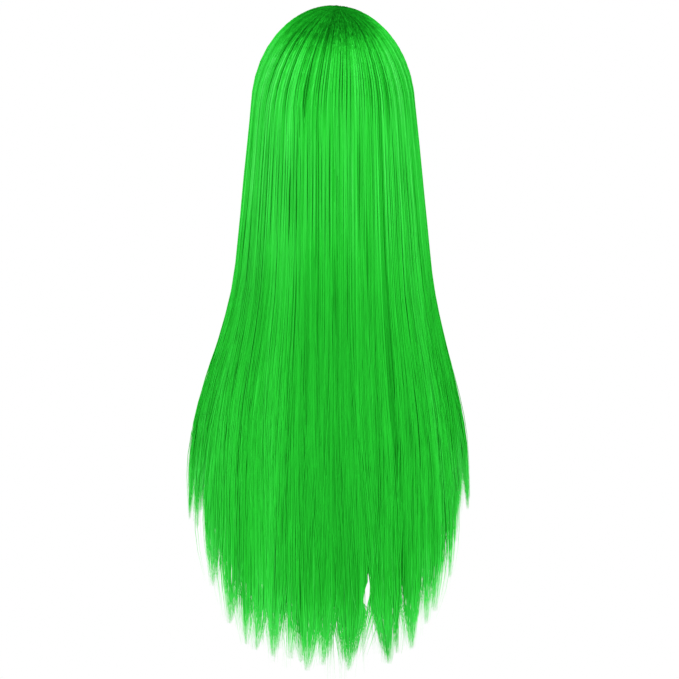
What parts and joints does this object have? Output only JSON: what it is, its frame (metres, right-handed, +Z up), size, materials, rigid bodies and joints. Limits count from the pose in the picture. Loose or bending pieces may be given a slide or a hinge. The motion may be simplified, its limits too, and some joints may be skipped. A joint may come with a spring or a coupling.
{
  "type": "costume wig",
  "caption": "Long straight bright green costume wig with layered pointed ends and a fringe, on an adjustable stretch net cap with sewn wefts.",
  "frame": {"origin": "centre of the head opening, level with the top of the ears", "axes": "+Z up to the crown, -Y the way the face looks, +X the wearer's left"},
  "size_m": [0.3202, 0.2289, 0.779],
  "materials": {
    "net": "matte",
    "elastic": "matte",
    "ribbon": "matte",
    "stay": "satin",
    "hook_tape": "matte",
    "label": "satin",
    "weft": "satin",
    "hair": "satin"
  },
  "bodies": {
    "cap": {"cap_net": "net", "front_band": "elastic", "side_band_left": "elastic", "side_band_right": "elastic", "nape_band": "elastic", "ribbon_front": "ribbon", "ribbon_back": "ribbon", "ribbon_back_left": "ribbon", "ribbon_back_right": "ribbon", "ribbon_side_left": "ribbon", "ribbon_side_right": "ribbon", "strap_channel_left": "ribbon", "strap_channel_right": "ribbon", "loop_pad_left": "ribbon", "loop_pad_right": "ribbon", "care_label": "label", "crown_patch": "weft", "crown_weft": "weft", "weft_1": "weft", "weft_2": "weft", "weft_3": "weft", "weft_4": "weft", "weft_5": "weft", "weft_6": "weft", "weft_7": "weft", "weft_8": "weft", "weft_9": "weft", "weft_10": "weft", "crown_hair": "hair", "back_hair": "hair", "side_hair_left": "hair", "side_hair_right": "hair"},
    "fringe": {"fringe": "hair"},
    "back_length": {"back_length": "hair"},
    "side_length_left": {"side_length_left": "hair"},
    "side_length_right": {"side_length_right": "hair"},
    "ear_tab_left": {"ear_tab_left": "elastic", "ear_stay_left": "stay"},
    "ear_tab_right": {"ear_tab_right": "elastic", "ear_stay_right": "stay"},
    "strap_left": {"strap_left": "elastic", "strap_tab_left": "hook_tape"},
    "strap_right": {"strap_right": "elastic", "strap_tab_right": "hook_tape"}
  },
  "joints": [
    {"name": "back_swing", "type": "hinge", "parent": "cap", "child": "back_length", "pos_m": [0, 0.108, -0.072], "axis": [1, 0, 0], "range_deg": [0, 50]},
    {"name": "side_swing_left", "type": "hinge", "parent": "cap", "child": "side_length_left", "pos_m": [0.098, 0, -0.072], "axis": [0, -1, 0], "range_deg": [0, 35]},
    {"name": "side_swing_right", "type": "hinge", "parent": "cap", "child": "side_length_right", "pos_m": [-0.098, 0, -0.072], "axis": [0, 1, 0], "range_deg": [0, 35]},
    {"name": "fringe_lift", "type": "hinge", "parent": "cap", "child": "fringe", "pos_m": [0, -0.1023, 0.044], "axis": [1, 0, 0], "range_deg": [-35, 0]},
    {"name": "ear_tab_bend_left", "type": "hinge", "parent": "cap", "child": "ear_tab_left", "pos_m": [0.071, -0.037, 0.002], "axis": [0.309, 0.9511, 0], "range_deg": [0, 20]},
    {"name": "ear_tab_bend_right", "type": "hinge", "parent": "cap", "child": "ear_tab_right", "pos_m": [-0.071, -0.037, 0.002], "axis": [0.309, -0.9511, 0], "range_deg": [0, 20]},
    {"name": "strap_slide_left", "type": "hinge", "parent": "cap", "child": "strap_left", "pos_m": [0, 0.029, -0.05], "axis": [0, 0, 1], "range_deg": [0, 16]},
    {"name": "strap_slide_right", "type": "hinge", "parent": "cap", "child": "strap_right", "pos_m": [0, 0.029, -0.05], "axis": [0, 0, -1], "range_deg": [0, 16]}
  ]
}
